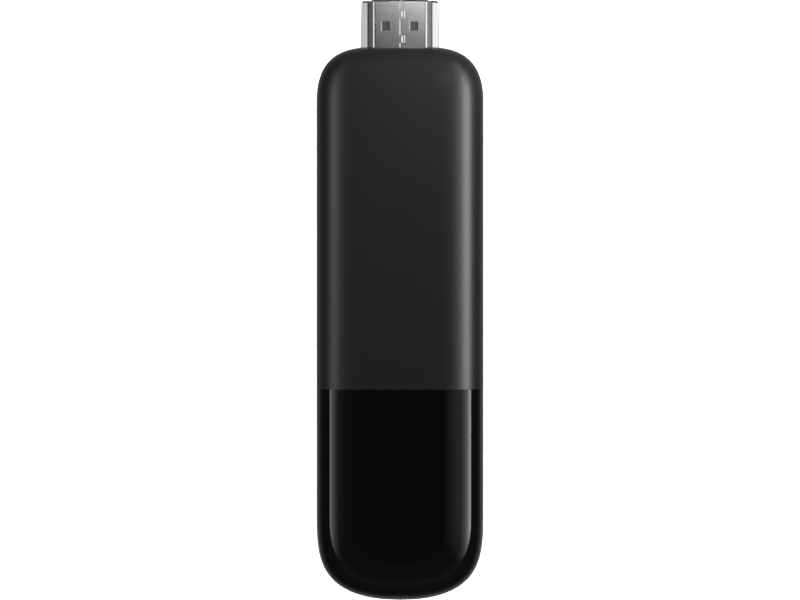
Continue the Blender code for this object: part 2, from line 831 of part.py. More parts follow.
PROCESSOR_HEIGHT = 1.25 * MM
STORAGE_HEIGHT = 1.0 * MM


def make_board(finish):
    notch_low, notch_high = PORT_Y - PORT_NOTCH_HALF, PORT_Y + PORT_NOTCH_HALF
    corners = [
        (BOARD_HALF_WIDTH, notch_high, 0.3 * MM),
        (BOARD_HALF_WIDTH, BOARD_END_Y, 2 * MM),
        (-BOARD_HALF_WIDTH, BOARD_END_Y, 2 * MM),
        (-BOARD_HALF_WIDTH, BOARD_TAIL_Y, 5.5 * MM),
        (BOARD_HALF_WIDTH, BOARD_TAIL_Y, 5.4 * MM),
        (BOARD_HALF_WIDTH, notch_low, 0.3 * MM),
        (PORT_NOTCH_X, notch_low, 0.3 * MM),
        (PORT_NOTCH_X, notch_high, 0.3 * MM),
    ]
    board = plate("main_board", corners, BOARD_UNDER, BOARD_TOP, finish)
    holes = rods("board_hole_cutter", SCREW_PLACES, SCREW_HOLE_RADIUS, 0, FAR)
    boolean(board, holes)


def rectangle(half_width, low_y, high_y, radius):
    return [
        (half_width, low_y, radius),
        (half_width, high_y, radius),
        (-half_width, high_y, radius),
        (-half_width, low_y, radius),
    ]


def make_spreaders(finish):
    corners = rectangle(SPREADER_HALF_WIDTH, SPREADER_LOW_Y, SPREADER_HIGH_Y, 1.5 * MM)
    low, high = FRONT_SPREADER
    front = plate("front_heat_spreader", corners, low, high, finish)
    bosses = rods("front_boss_joiner", SCREW_PLACES, BOSS_RADIUS, ON_BOARD, low + 0.5 * MM)
    boolean(front, bosses, "UNION")
    bores = rods("front_boss_cutter", SCREW_PLACES, BOSS_BORE_RADIUS, 0, low + 0.4 * MM)
    boolean(front, bores)

    low, high = REAR_SPREADER
    rear = plate("rear_heat_spreader", corners, low, high, finish)
    bosses = rods("rear_boss_joiner", SCREW_PLACES, BOSS_RADIUS, high - 0.5 * MM, UNDER_BOARD)
    boolean(rear, bosses, "UNION")
    bores = rods("rear_boss_cutter", SCREW_PLACES, BOSS_BORE_RADIUS, 0, FAR)
    boolean(rear, bores)


def make_screws(finish):
    head_top = REAR_SPREADER[0] - 0.05 * MM
    for number, (x, y) in enumerate(SCREW_PLACES, start=1):
        profile = [
            (0.0, SCREW_TIP_Z),
            (SCREW_RADIUS - 0.25 * MM, SCREW_TIP_Z),
            (SCREW_RADIUS, SCREW_TIP_Z - 0.4 * MM),
            (SCREW_RADIUS, head_top),
            (SCREW_HEAD_RADIUS, head_top),
            (SCREW_HEAD_RADIUS, head_top - SCREW_HEAD_HEIGHT * 0.6),
            (SCREW_HEAD_RADIUS * 0.8, head_top - SCREW_HEAD_HEIGHT),
            (0.0, head_top - SCREW_HEAD_HEIGHT),
        ]
        screw = turned(f"spreader_screw_{number}", profile, (x, y, 0), finish)
        under = head_top - SCREW_HEAD_HEIGHT
        for arm, (half_x, half_y) in enumerate((RECESS, RECESS[::-1]), start=1):
            low = (x - half_x, y - half_y, under - 1 * MM)
            high = (x + half_x, y + half_y, under + RECESS_DEPTH)
            boolean(screw, boxes(f"screw_{number}_recess_cutter_{arm}", [(low, high)]))


def block(name, size, centre, base, finish, edge):
    """A packaged component on a surface at z = base; size, centre and edge are in millimetres."""
    width, length, height = (value * MM for value in size)
    x, y = (value * MM for value in centre)
    low = (x - width / 2, y - length / 2, base)
    made = boxes(name, [(low, (x + width / 2, y + length / 2, base + height))], finish)
    bevel(made, edge * MM, segments=1)


def make_components(finishes):
    """Each component: its size and centre in millimetres, its finish and its edge chamfer."""
    on_top = {
        "processor": ((13, 13, PROCESSOR_HEIGHT / MM), (0, 12), "chip", 0.1),
        "memory_chip": ((12, 9, 1.0), (0, -1.5), "chip", 0.1),
        "power_chip": ((5, 5, 0.9), (-3.5, -11.5), "chip", 0.1),
        "power_inductor_1": ((4, 4, 2.0), (5.0, -31), "ferrite", 0.4),
        "power_inductor_2": ((3, 3, 1.5), (3.4, -11.5), "ferrite", 0.3),
        "crystal": ((3.2, 2.5, 0.7), (4.6, -22), "tin", 0.15),
        "wifi_module": ((12, 12, 2.0), (-4.5, -36), "tin", 0.3),
        "status_led": ((1.6, 0.8, 0.6), [v / MM for v in LED_PLACE], "led", 0.1),
    }
    for name, (size, centre, finish, edge) in on_top.items():
        block(name, size, centre, ON_BOARD, finishes[finish], edge)
    underside = UNDER_BOARD - STORAGE_HEIGHT
    size = (11.5, 13, STORAGE_HEIGHT / MM)
    block("storage_chip", size, (0, 8), underside, finishes["chip"], 0.1)


def make_shield(finish):
    top = ON_BOARD + SHIELD_HEIGHT
    half, low, high = SHIELD_HALF_WIDTH, SHIELD_LOW_Y, SHIELD_HIGH_Y
    frame = plate("shield_frame", rectangle(half, low, high, 0.6 * MM), ON_BOARD, top, finish)
    wall = SHIELD_WALL
    inner = rectangle(half - wall, low + wall, high - wall, 0.4 * MM)
    boolean(frame, plate("shield_frame_cutter", inner, 0, FAR))

    grow = LID_GAP + LID_WALL
    lid_top = top + LID_GAP + LID_WALL
    skirt = top - LID_SKIRT
    outer = rectangle(half + grow, low - grow, high + grow, 0.85 * MM)
    lid = plate("shield_lid", outer, skirt, lid_top, finish)
    grow = LID_GAP
    inner = rectangle(half + grow, low - grow, high + grow, 0.7 * MM)
    boolean(lid, plate("shield_lid_cutter", inner, 0, top + LID_GAP))
    return lid_top


def make_pads(finish, lid_top):
    processor_top = ON_BOARD + PROCESSOR_HEIGHT
    storage_under = UNDER_BOARD - STORAGE_HEIGHT
    lid_under = lid_top - LID_WALL
    pads = (
        ("processor_thermal_pad", 6 * MM, 6 * MM, 18 * MM, processor_top, lid_under),
        ("front_thermal_pad", 7.5 * MM, -6 * MM, 19 * MM, lid_top, FRONT_SPREADER[0]),
        ("rear_thermal_pad", 5.5 * MM, 2 * MM, 14 * MM, REAR_SPREADER[1], storage_under),
    )
    for name, half, low_y, high_y, under, over in pads:
        gap = 0.05 * MM
        plate(name, rectangle(half, low_y, high_y, 0.3 * MM), under + gap, over - gap, finish)


def make_antennas(finish):
    """Stamped inverted-F antennas: a soldered foot, an upright and a folded top."""
    foot_y, upright_y = -45.2 * MM, -46.6 * MM
    top = ON_BOARD + 3.4 * MM
    thickness = 0.25 * MM
    path = [
        (foot_y, ON_BOARD + thickness / 2),
        (upright_y, ON_BOARD + thickness / 2),
        (upright_y, top),
        (upright_y + 1.2 * MM, top),
    ]
    for name, x in (("antenna_main", -5.0 * MM), ("antenna_diversity", 5.0 * MM)):
        made = strip(name, path, 7.0 * MM, thickness, lambda u, v, side, x=x: (x + side, u, v), finish)
        outer = math.copysign(1.0, x)
        slot_ends = sorted((x - outer * 1.6 * MM, x + outer * 4.5 * MM))
        slot = boxes(
            f"{name}_slot_cutter",
            [
                (
                    (slot_ends[0], upright_y - 1 * MM, ON_BOARD - 0.1 * MM),
                    (slot_ends[1], foot_y + 1 * MM, ON_BOARD + 1.3 * MM),
                )
            ],
        )
        boolean(made, slot)


def main():
    clear_scene()
    finishes = make_materials()
    make_casing(finishes)
    make_hdmi_shell(finishes["steel"])
    make_hdmi_insulator(finishes["nylon"])
    make_hdmi_contacts(finishes["gold"])
    make_usb_shell(finishes["steel"])
    make_usb_insulator(finishes["nylon"])
    make_usb_contacts(finishes["gold"])
    make_board(finishes["board"])
    make_spreaders(finishes["aluminium"])
    make_screws(finishes["screw"])
    make_components(finishes)
    lid_top = make_shield(finishes["tin"])
    make_pads(finishes["pad"], lid_top)
    make_antennas(finishes["tin"])


main()
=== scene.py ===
"""The looks of the streaming media stick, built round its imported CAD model.

Metres, +Z up, in the frame of the CAD: the stick lies on its back, its plug along +Y and its power
port on the +X side.
"""

import json
import math

import bmesh
import bpy
from mathutils import Matrix, Vector

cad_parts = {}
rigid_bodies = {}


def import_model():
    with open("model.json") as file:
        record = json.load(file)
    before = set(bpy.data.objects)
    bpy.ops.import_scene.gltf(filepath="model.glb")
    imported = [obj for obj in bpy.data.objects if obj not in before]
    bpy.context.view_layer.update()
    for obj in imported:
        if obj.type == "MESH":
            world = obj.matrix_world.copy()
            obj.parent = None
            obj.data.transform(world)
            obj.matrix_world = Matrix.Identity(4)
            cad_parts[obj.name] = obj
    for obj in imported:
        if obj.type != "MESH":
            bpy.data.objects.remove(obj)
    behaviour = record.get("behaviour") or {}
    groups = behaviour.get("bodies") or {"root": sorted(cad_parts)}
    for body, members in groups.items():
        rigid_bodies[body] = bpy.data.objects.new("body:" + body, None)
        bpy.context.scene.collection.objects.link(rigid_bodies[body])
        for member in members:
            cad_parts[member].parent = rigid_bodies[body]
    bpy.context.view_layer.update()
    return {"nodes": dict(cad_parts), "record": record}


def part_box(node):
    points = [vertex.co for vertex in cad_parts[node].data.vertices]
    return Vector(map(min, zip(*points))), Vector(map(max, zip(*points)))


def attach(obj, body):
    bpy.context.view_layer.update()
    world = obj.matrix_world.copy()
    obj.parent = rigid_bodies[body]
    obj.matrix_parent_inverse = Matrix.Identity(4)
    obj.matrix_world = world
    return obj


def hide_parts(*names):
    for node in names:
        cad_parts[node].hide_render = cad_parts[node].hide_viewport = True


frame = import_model()

MM = 0.001
BODY = "root"
FAR = 40 * MM  # well beyond the stick's width and height

# ---------------------------------------------------------------- places read from the frame
PARTING_GAP = 0.1 * MM
HALF_GAP = PARTING_GAP / 2
rear_low, rear_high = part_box("rear_shell")
gloss_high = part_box("gloss_cover")[1]
plug_low, plug_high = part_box("hdmi_shell")
port_low, port_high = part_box("usb_shell")

HALF_WIDTH = rear_high.x
TAIL_Y = rear_low.y
BODY_TOP_Y = rear_high.y
MID_Z = rear_high.z + HALF_GAP
GLOSS_EDGE_Y = gloss_high.y + HALF_GAP
PLUG_TIP_Y = plug_high.y
PLUG_LENGTH = 16.4 * MM
PLUG_BACK_Y = PLUG_TIP_Y - PLUG_LENGTH
PORT_Y = (port_low.y + port_high.y) / 2

# ---------------------------------------------------------------- the pebble's shape
# the outline: a straight top end between two superellipse corners, and a wholly curved tail
TOP_FLAT = 3.98 * MM  # half the straight stretch
TOP_REACH = 10.75 * MM
TOP_POWER = 2.8
TAIL_REACH = 18.2 * MM
TAIL_POWER_X = 2.3
TAIL_POWER_Y = 4.25
# the cross-section: a short upright land at the widest line, then a shoulder over to a flat face
FRONT_SHOULDER = 9.0 * MM
BACK_SHOULDER = 7.5 * MM
SHOULDER_POWER = 2.5
EDGE_LAND = 0.3 * MM
FRONT_WALL = 1.7 * MM
BACK_WALL = 1.4 * MM
GLOSS_WALL = 0.8 * MM
GLOSS_BED = 0.9 * MM
OVERCUT = 0.3 * MM

CORNER_STEPS = 34
SHOULDER_STEPS = 22
DENSE_STEPS = 2000

WORKSHOP = bpy.data.collections.new("cutters_and_joiners")
bpy.context.scene.collection.children.link(WORKSHOP)
PIECES = bpy.data.collections.new("pieces")
bpy.context.scene.collection.children.link(PIECES)


# ---------------------------------------------------------------- mesh helpers
def mesh_from(name, build):
    """A mesh filled by build(bm)."""
    bm = bmesh.new()
    build(bm)
    mesh = bpy.data.meshes.new(name)
    bm.to_mesh(mesh)
    bm.free()
    return mesh


def helper(name, build):
    """A cutter or joiner, hidden from every render."""
    obj = bpy.data.objects.new(name, mesh_from(name, build))
    WORKSHOP.objects.link(obj)
    obj.hide_render = True
    return obj


def boxes(name, blocks):
    """Blocks given as (low corner, high corner)."""

    def build(bm):
        for low, high in blocks:
            low, high = Vector(low), Vector(high)
            place = Matrix.Translation((low + high) / 2) @ Matrix.Diagonal((*(high - low), 1))
            bmesh.ops.create_cube(bm, size=1, matrix=place)

    return helper(name, build)


def loft(name, rings):
    """A closed solid through rings of equally many points, capped at both ends."""

    def build(bm):
        loops = [[bm.verts.new(p) for p in ring] for ring in rings]
        for low, high in zip(loops, loops[1:]):
            for i in range(len(low)):
                j = (i + 1) % len(low)
                bm.faces.new((low[i], low[j], high[j], high[i]))
        bm.faces.new(loops[0])
        bm.faces.new(loops[-1])
        bmesh.ops.recalc_face_normals(bm, faces=bm.faces)

    return helper(name, build)


def solidify(obj, thickness, offset=-1.0):
    """A wall grown inwards from the skin, or to either side of it for other offsets."""
    modifier = obj.modifiers.new("wall", "SOLIDIFY")
    modifier.thickness = thickness
    modifier.offset = offset
    modifier.use_even_offset = True


def boolean(obj, other, operation="DIFFERENCE"):
    modifier = obj.modifiers.new(f"{operation.lower()}_{other.name}", "BOOLEAN")
    modifier.operation = operation
    modifier.object = other


def baked(obj):
    """A bmesh of the object with its modifiers applied and its tiniest edges dissolved."""
    smallest = 0.002 * MM
    evaluated = obj.evaluated_get(bpy.context.evaluated_depsgraph_get())
    bm = bmesh.new()
    bm.from_mesh(evaluated.to_mesh())
    evaluated.to_mesh_clear()
    bmesh.ops.remove_doubles(bm, verts=bm.verts, dist=smallest)
    bmesh.ops.dissolve_degenerate(bm, edges=bm.edges, dist=smallest)
    return bm


def round_edges(bm, wanted, width):
    """Rounds the creased edges whose middle is wanted."""
    crease = math.radians(50)
    edges = [
        edge
        for edge in bm.edges
        if len(edge.link_faces) == 2
        and edge.calc_face_angle(0) > crease
        and wanted((edge.verts[0].co + edge.verts[1].co) / 2)
    ]
    if edges:
        bmesh.ops.bevel(
            bm,
            geom=edges,
            offset=width,
            offset_type="OFFSET",
            segments=2,
            profile=0.5,
            affect="EDGES",
            clamp_overlap=True,
        )


def piece(name, bm, slot, node, sharp=35):
    """The finished piece: it rides the stick's body and stands for the CAD node."""
    mesh = bpy.data.meshes.new(name)
    bm.to_mesh(mesh)
    bm.free()
    mesh.shade_smooth()
    mesh.set_sharp_from_angle(angle=math.radians(sharp))
    mesh.materials.append(FINISHES[slot])
    obj = bpy.data.objects.new(name, mesh)
    PIECES.objects.link(obj)
    normals = obj.modifiers.new("even_shading", "WEIGHTED_NORMAL")
    normals.keep_sharp = True
    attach(obj, BODY)
    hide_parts(node)
    return obj


# ---------------------------------------------------------------- outlines
def rounded(corners, steps=6):
    """Points of a closed outline whose corners, given as (u, v, radius), are rounded by arcs."""
    points = []
    for i, (u, v, radius) in enumerate(corners):
        here = Vector((u, v))
        before = (Vector(corners[i - 1][:2]) - here).normalized()
        after = (Vector(corners[(i + 1) % len(corners)][:2]) - here).normalized()
        half = before.angle(after) / 2
        centre = here + (before + after).normalized() * radius / math.sin(half)
        start = here + before * radius / math.tan(half) - centre
        turn = start.angle_signed(here + after * radius / math.tan(half) - centre)
        for k in range(steps + 1):
            points.append(centre + Matrix.Rotation(-turn * k / steps, 2) @ start)
    return points


def inset(corners, distance):
    """An anticlockwise outline of rounded corners moved inwards, or outwards by a negative distance."""
    moved = []
    for i, (u, v, radius) in enumerate(corners):
        here = Vector((u, v))
        along = (here - Vector(corners[i - 1][:2])).normalized()
        onward = (Vector(corners[(i + 1) % len(corners)][:2]) - here).normalized()
        normals = Vector((-along.y, along.x)), Vector((-onward.y, onward.x))
        shift = (normals[0] + normals[1]) * distance / (1 + normals[0].dot(normals[1]))
        convex = along.cross(onward) > 0
        kept = radius - distance if convex else radius + distance
        moved.append((u + shift.x, v + shift.y, max(kept, 0.05 * MM)))
    return moved


def mirrored(corners):
    """A half outline given from bottom to top on the +u side, closed by its mirror image."""
    return corners + [(-u, v, radius) for u, v, radius in reversed(corners)]


def spaced(points, steps):
    """steps + 1 points evenly spaced along a dense polyline."""
    lengths = [0.0]
    for first, second in zip(points, points[1:]):
        lengths.append(lengths[-1] + math.dist(first, second))
    found = []
    k = 0
    for i in range(steps + 1):
        target = lengths[-1] * i / steps
        while k < len(points) - 2 and lengths[k + 1] < target:
            k += 1
        share = (target - lengths[k]) / (lengths[k + 1] - lengths[k])
        found.append([a + (b - a) * min(share, 1.0) for a, b in zip(points[k], points[k + 1])])
    return found


def quarter(flat, reach_x, reach_y, power_x, power_y):
    """A superellipse quarter from the side, (flat + reach_x, 0), round to the end, (flat, reach_y)."""
    dense = []
    for i in range(DENSE_STEPS + 1):
        t = math.pi / 2 * i / DENSE_STEPS
        x = flat + reach_x * max(math.cos(t), 0.0) ** (2 / power_x)
        dense.append((x, reach_y * math.sin(t) ** (2 / power_y)))
    return spaced(dense, CORNER_STEPS)


def outline(distance):
    """The body's outline seen from the front, anticlockwise, moved inwards by distance."""
    top = quarter(
        TOP_FLAT, HALF_WIDTH - TOP_FLAT - distance, TOP_REACH - distance, TOP_POWER, TOP_POWER
    )
    tail = quarter(0.0, HALF_WIDTH - distance, TAIL_REACH - distance, TAIL_POWER_X, TAIL_POWER_Y)
    top_base = BODY_TOP_Y - TOP_REACH
    tail_base = TAIL_Y + TAIL_REACH
    points = [(x, top_base + y) for x, y in top]
    points += [(-x, top_base + y) for x, y in reversed(top)]
    points += [(-x, tail_base - y) for x, y in tail]
    points += [(x, tail_base - y) for x, y in reversed(tail[:-1])]
    return points


def shoulder(reach):
    """(inset, rise) pairs from the parting line up the land, over the shoulder and onto the face."""
    pairs = [(0.0, 0.0)]
    for i in range(SHOULDER_STEPS + 1):
        a = math.pi / 2 * i / SHOULDER_STEPS
        across, up = max(math.cos(a), 0.0), math.sin(a)
        r = (across**SHOULDER_POWER + up**SHOULDER_POWER) ** (-1 / SHOULDER_POWER)
        rise = EDGE_LAND + (MID_Z - EDGE_LAND) * r * up
        pairs.append((reach * (1 - r * across), rise))
    return pairs


def pebble_half(name, reach, side, start):
    """An open skin from start beyond the parting line to the front face (side 1) or back (side -1)."""
    pairs = shoulder(reach)
    pairs[0] = (0.0, start)

    def build(bm):
        loops = []
        for distance, rise in pairs:
            z = MID_Z + side * rise
            loops.append([bm.verts.new((x, y, z)) for x, y in outline(distance)])
        for low, high in zip(loops, loops[1:]):
            for i in range(len(low)):
                j = (i + 1) % len(low)
                corners = (low[i], low[j], high[j], high[i])
                bm.faces.new(corners if side > 0 else corners[::-1])
        bm.faces.new(loops[-1] if side > 0 else loops[-1][::-1])

    return helper(name, build)


# ---------------------------------------------------------------- material helpers
class Finish:
    """A Principled material whose colour, roughness and relief come from procedural textures."""

    def __init__(self, name, colour, roughness, metallic=0.0, specular=0.5, **sockets):
        self.material = bpy.data.materials.new(name)
        self.material.use_nodes = True
        self.tree = self.material.node_tree
        self.shader = self.tree.nodes["Principled BSDF"]
        self.shader.inputs["Base Color"].default_value = (*colour, 1.0)
        self.shader.inputs["Roughness"].default_value = roughness
        self.shader.inputs["Metallic"].default_value = metallic
        self.shader.inputs["Specular IOR Level"].default_value = specular
        for socket, value in sockets.items():
            self.shader.inputs[socket.replace("_", " ").title()].default_value = value
        self.place = self.tree.nodes.new("ShaderNodeTexCoord").outputs["Object"]
        self.last_bump = None

    def link(self, a, b):
        self.tree.links.new(a, b)

    def stretched(self, scale):
        """Object coordinates multiplied by scale, for a grain that runs one way."""
        mapping = self.tree.nodes.new("ShaderNodeMapping")
        mapping.inputs["Scale"].default_value = scale
        self.link(self.place, mapping.inputs["Vector"])
        return mapping.outputs["Vector"]

    def noise(self, size, detail=2.0, stretch=(1, 1, 1), roughness=0.5):
        """Noise from 0 to 1 whose lumps are about size metres across."""
        node = self.tree.nodes.new("ShaderNodeTexNoise")
        node.inputs["Scale"].default_value = 1.0 / size
        node.inputs["Detail"].default_value = detail
        node.inputs["Roughness"].default_value = roughness
        self.link(self.stretched(stretch), node.inputs["Vector"])
        return node.outputs["Fac"]

    def cells(self, size, feature="F1", stretch=(1, 1, 1)):
        node = self.tree.nodes.new("ShaderNodeTexVoronoi")
        node.inputs["Scale"].default_value = 1.0 / size
        node.feature = feature
        self.link(self.stretched(stretch), node.inputs["Vector"])
        return node.outputs["Distance"]

    def spread(self, factor, low, high, start=0.35, end=0.65):
        """factor's range from start to end, spread over low to high."""
        node = self.tree.nodes.new("ShaderNodeMapRange")
        for socket, value in zip(("From Min", "From Max", "To Min", "To Max"), (start, end, low, high)):
            node.inputs[socket].default_value = value
        self.link(factor, node.inputs["Value"])
        return node.outputs["Result"]

    def colours(self, factor, first, second):
        node = self.tree.nodes.new("ShaderNodeMix")
        node.data_type = "RGBA"
        node.inputs["A"].default_value = (*first, 1.0)
        node.inputs["B"].default_value = (*second, 1.0)
        self.link(factor, node.inputs["Factor"])
        self.link(node.outputs["Result"], self.shader.inputs["Base Color"])

    def roughness(self, factor, low, high):
        self.link(self.spread(factor, low, high), self.shader.inputs["Roughness"])

    def bump(self, factor, depth, strength):
        node = self.tree.nodes.new("ShaderNodeBump")
        node.inputs["Distance"].default_value = depth
        node.inputs["Strength"].default_value = strength
        self.link(factor, node.inputs["Height"])
        if self.last_bump:
            self.link(self.last_bump, node.inputs["Normal"])
        self.last_bump = node.outputs["Normal"]
        self.link(self.last_bump, self.shader.inputs["Normal"])


# ---------------------------------------------------------------- the finishes
def matte_case():
    """Fine spark-eroded grain on black moulded plastic, with a soft touch of uneven sheen."""
    made = Finish("matte_case", (0.033, 0.0345, 0.0375), 0.3)
    made.colours(made.noise(6 * MM, 3), (0.0315, 0.033, 0.036), (0.0345, 0.036, 0.039))
    made.roughness(made.noise(0.35 * MM, 2), 0.285, 0.315)
    made.bump(made.cells(0.16 * MM, "SMOOTH_F1"), 0.006 * MM, 0.5)
    made.bump(made.noise(0.5 * MM, 2), 0.004 * MM, 0.4)
    return made.material


def gloss_cover():
    """Polished black cover: nearly a mirror, with the faint unevenness of a moulding."""
    made = Finish("gloss_cover", (0.007, 0.0077, 0.0095), 0.05)
    made.colours(made.noise(9 * MM, 2), (0.0066, 0.0073, 0.0090), (0.0074, 0.0081, 0.0100))
    made.roughness(made.noise(3 * MM, 3), 0.05, 0.075)
    made.bump(made.noise(11 * MM, 1), 0.004 * MM, 0.25)
    return made.material


def plug_steel():
    """Nickel-plated steel with the satin grain of rolled sheet."""
    made = Finish("plug_steel", (0.62, 0.62, 0.635), 0.245, metallic=1.0)
    made.colours(made.noise(0.5 * MM, 3), (0.615, 0.615, 0.63), (0.635, 0.635, 0.65))
    made.roughness(made.noise(0.6 * MM, 3), 0.24, 0.25)
    made.bump(made.noise(0.3 * MM, 2), 0.0001 * MM, 0.2)
    return made.material


def connector_plastic():
    made = Finish("connector_plastic", (0.13, 0.13, 0.135), 0.5)
    made.colours(made.noise(1.2 * MM, 3), (0.12, 0.12, 0.125), (0.14, 0.14, 0.145))
    made.roughness(made.noise(0.4 * MM, 2), 0.42, 0.58)
    made.bump(made.noise(0.12 * MM, 2), 0.003 * MM, 0.4)
    return made.material


def contact_gold():
    made = Finish("contact_gold", (0.83, 0.60, 0.25), 0.22, metallic=1.0)
    made.colours(made.noise(0.8 * MM, 3), (0.80, 0.56, 0.22), (0.86, 0.64, 0.29))
    made.roughness(made.noise(0.2 * MM, 2, stretch=(1, 0.2, 1)), 0.18, 0.3)
    made.bump(made.noise(0.1 * MM, 2, stretch=(1, 0.15, 1)), 0.001 * MM, 0.4)
    return made.material


def board_laminate():
    """Green solder mask, with copper runs showing through as a slight relief."""
    made = Finish("board_laminate", (0.010, 0.060, 0.032), 0.35)
    runs = made.cells(1.6 * MM, "DISTANCE_TO_EDGE")
    run = made.spread(runs, 1.0, 0.0, 0.03, 0.09)
    made.colours(run, (0.008, 0.048, 0.026), (0.016, 0.098, 0.05))
    made.roughness(made.noise(0.5 * MM, 3), 0.3, 0.42)
    made.bump(run, 0.03 * MM, 0.6)
    made.bump(made.noise(0.3 * MM, 2), 0.004 * MM, 0.4)
    return made.material


def chip_package():
    made = Finish("chip_package", (0.025, 0.025, 0.027), 0.55)
    made.colours(made.noise(0.25 * MM, 4), (0.021, 0.021, 0.023), (0.030, 0.030, 0.032))
    made.roughness(made.noise(0.6 * MM, 3), 0.48, 0.62)
    made.bump(made.noise(0.08 * MM, 3), 0.004 * MM, 0.5)
    return made.material


def shield_tin():
    made = Finish("shield_tin", (0.60, 0.59, 0.56), 0.35, metallic=1.0)
    made.colours(made.noise(2.5 * MM, 4), (0.56, 0.55, 0.52), (0.64, 0.63, 0.60))
    made.roughness(made.noise(0.9 * MM, 3, stretch=(1, 0.15, 1)), 0.28, 0.42)
    made.bump(made.noise(0.2 * MM, 3, stretch=(1, 0.1, 1)), 0.002 * MM, 0.4)
    return made.material


def spreader_aluminium():
    made = Finish("spreader_aluminium", (0.77, 0.78, 0.80), 0.38, metallic=1.0)
    made.colours(made.noise(1.5 * MM, 3, stretch=(1, 0.08, 1)), (0.73, 0.74, 0.76), (0.81, 0.82, 0.84))
    made.roughness(made.noise(0.5 * MM, 3, stretch=(1, 0.06, 1)), 0.3, 0.46)
    made.bump(made.noise(0.25 * MM, 3, stretch=(1, 0.04, 1)), 0.003 * MM, 0.5)
    return made.material


def thermal_pad():
    made = Finish("thermal_pad", (0.36, 0.43, 0.50), 0.8)
    made.colours(made.noise(0.5 * MM, 4), (0.33, 0.40, 0.47), (0.39, 0.46, 0.53))
    made.roughness(made.noise(0.3 * MM, 2), 0.74, 0.86)
    made.bump(made.cells(0.45 * MM, "SMOOTH_F1"), 0.02 * MM, 0.5)
    return made.material


def inductor_ferrite():
    made = Finish("inductor_ferrite", (0.09, 0.09, 0.095), 0.6)
    made.colours(made.noise(0.2 * MM, 4), (0.07, 0.07, 0.075), (0.11, 0.11, 0.115))
    made.roughness(made.noise(0.4 * MM, 3), 0.5, 0.7)
    made.bump(made.noise(0.15 * MM, 4), 0.012 * MM, 0.6)
    return made.material


def screw_steel():
    made = Finish("screw_steel", (0.25, 0.25, 0.26), 0.35, metallic=1.0)
    made.colours(made.noise(0.7 * MM, 3), (0.21, 0.21, 0.22), (0.29, 0.29, 0.30))
    made.roughness(made.noise(0.25 * MM, 3), 0.28, 0.44)
    made.bump(made.noise(0.15 * MM, 2), 0.003 * MM, 0.4)
    return made.material


def led_resin():
    made = Finish("led_resin", (0.85, 0.86, 0.80), 0.25)
    made.colours(made.noise(0.4 * MM, 2), (0.82, 0.83, 0.76), (0.88, 0.89, 0.84))
    made.roughness(made.noise(0.3 * MM, 2), 0.18, 0.32)
    made.bump(made.noise(0.3 * MM, 1), 0.002 * MM, 0.3)
    return made.material


FINISHES = {
    make.__name__: make()
    for make in (
        matte_case,
        gloss_cover,
        plug_steel,
        connector_plastic,
        contact_gold,
        board_laminate,
        chip_package,
        shield_tin,
        spreader_aluminium,
        thermal_pad,
        inductor_ferrite,
        screw_steel,
        led_resin,
    )
}

for row in frame["record"]["subparts"]:
    node = frame["nodes"][row["node"]]
    node.data.materials.clear()
    node.data.materials.append(FINISHES[row["material_slot"]])
    node.data.shade_smooth()
    node.data.set_sharp_from_angle(angle=math.radians(35))

# ---------------------------------------------------------------- HDMI plug
PLUG_WALL = 0.35 * MM
PLUG_HALF_WIDTH = plug_high.x
PLUG_HALF_HEIGHT = (plug_high.z - plug_low.z) / 2
PLUG_CORNERS = mirrored(
    [
        (PLUG_HALF_WIDTH, -PLUG_HALF_HEIGHT, 0.6 * MM),
        (PLUG_HALF_WIDTH, -0.9 * MM, 0.25 * MM),
        (5.75 * MM, 0.0, 0.4 * MM),
        (4.85 * MM, PLUG_HALF_HEIGHT, 0.72 * MM),
    ]
)
# the rim at the tip: distance from the tip, and how far the shell is drawn in there
RIM = ((0.42 * MM, 0.0), (0.36 * MM, 0.012 * MM), (0.3 * MM, 0.05 * MM), (0.0, 0.3 * MM))
LATCH_HOLE_X = 2.51 * MM
LATCH_HOLE_FROM_TIP = 4.72 * MM
LATCH_HOLE_SIZE = (1.4 * MM, 1.6 * MM)
SEAM_X = 0.185 * MM
SEAM_WIDTH = 0.07 * MM
DOVETAILS_FROM_TIP = (2.56 * MM, 7.02 * MM)
DOVETAIL_REACH = 0.385 * MM
DOVETAIL_HALF = 0.72 * MM
DOVETAIL_NECK = 0.45 * MM
STEEP_ROLL = 0.55  # slopes of the edges that the press rolled over
GENTLE_ROLL = 0.31
HOLE_ROLL_WIDTH = 0.17 * MM
SEAM_ROLL_WIDTH = 0.35 * MM
DOVETAIL_ROLLS = ((-0.31 * MM, 0.0), (0.14 * MM, 0.34 * MM))  # beside the dovetail's end
DOVETAIL_ROLL_HALF = 0.68 * MM
CASE_TO_PLUG = 0.35 * MM


def plug_ring(y, distance):
    return [(u, y, MID_Z + v) for u, v in rounded(inset(PLUG_CORNERS, distance))]


def seam_outline():
    """The butt seam's line down the face, stepping out round each dovetail."""
    tooth = SEAM_X + DOVETAIL_REACH
    line = [(SEAM_X, PLUG_TIP_Y + FAR)]
    for from_tip in DOVETAILS_FROM_TIP:
        y = PLUG_TIP_Y - from_tip
        line += [
            (SEAM_X, y + DOVETAIL_NECK),
            (tooth, y + DOVETAIL_HALF),
            (tooth, y - DOVETAIL_HALF),
            (SEAM_X, y - DOVETAIL_NECK),
        ]
    return line + [(SEAM_X, PLUG_BACK_Y - FAR)]


